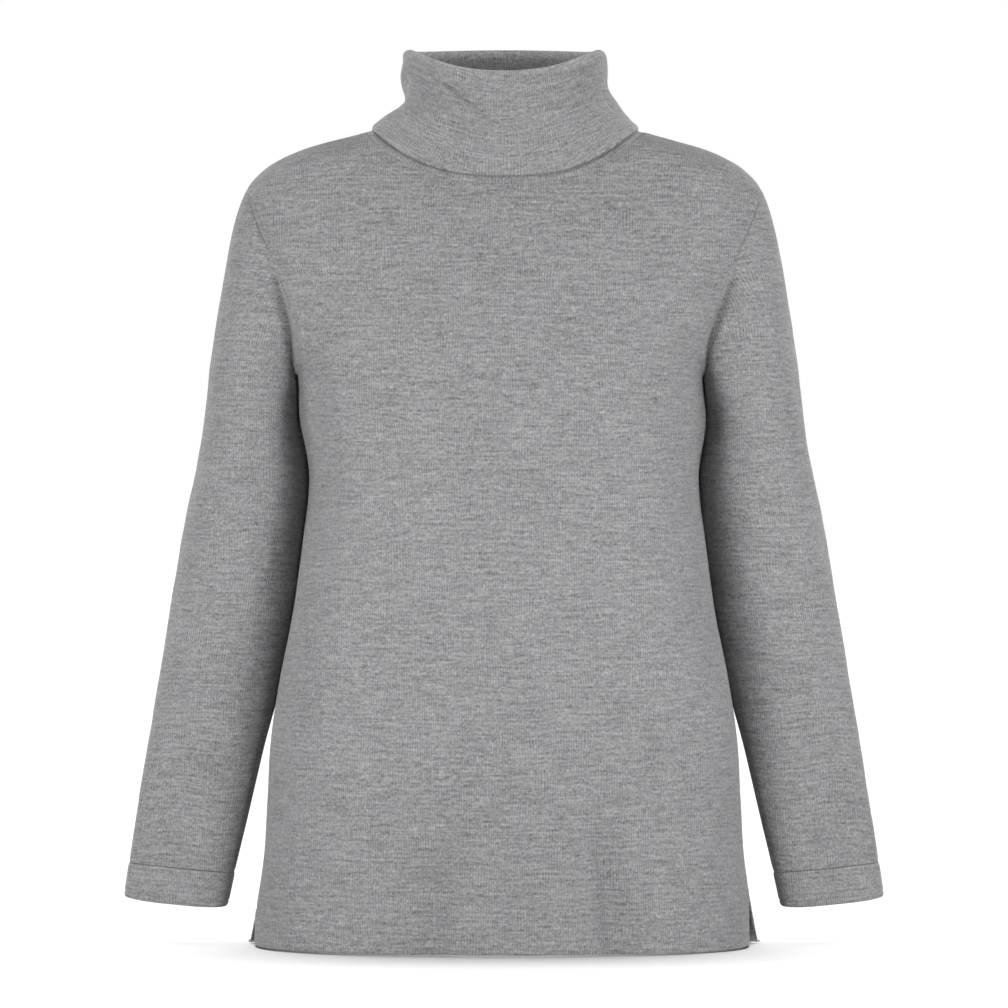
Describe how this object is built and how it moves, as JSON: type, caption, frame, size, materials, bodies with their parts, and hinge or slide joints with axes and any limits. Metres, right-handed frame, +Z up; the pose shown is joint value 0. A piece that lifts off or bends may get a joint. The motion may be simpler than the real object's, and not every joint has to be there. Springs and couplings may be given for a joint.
{
  "type": "turtleneck sweater",
  "caption": "Long-sleeved turtleneck sweater in fine knit, tunic length with side vents, hollow and filled out as worn.",
  "frame": {"origin": "midway between the two points where the shoulder seams meet the neck seam, where a wearer's shoulders hold it", "axes": "+Z up towards the neck opening, -Y out of the front, +X towards the wearer's left sleeve"},
  "size_m": [0.6572, 0.2816, 0.7738],
  "materials": {
    "grey_knit": "matt fine jersey, mid-grey melange",
    "cuff_knit": "matt fine jersey band, mid-grey melange"
  },
  "bodies": {
    "root": {"front": "grey_knit", "back": "grey_knit", "sleeve_left": "grey_knit", "sleeve_right": "grey_knit", "collar": "grey_knit", "cuff_left": "cuff_knit", "cuff_right": "cuff_knit"}
  },
  "joints": []
}
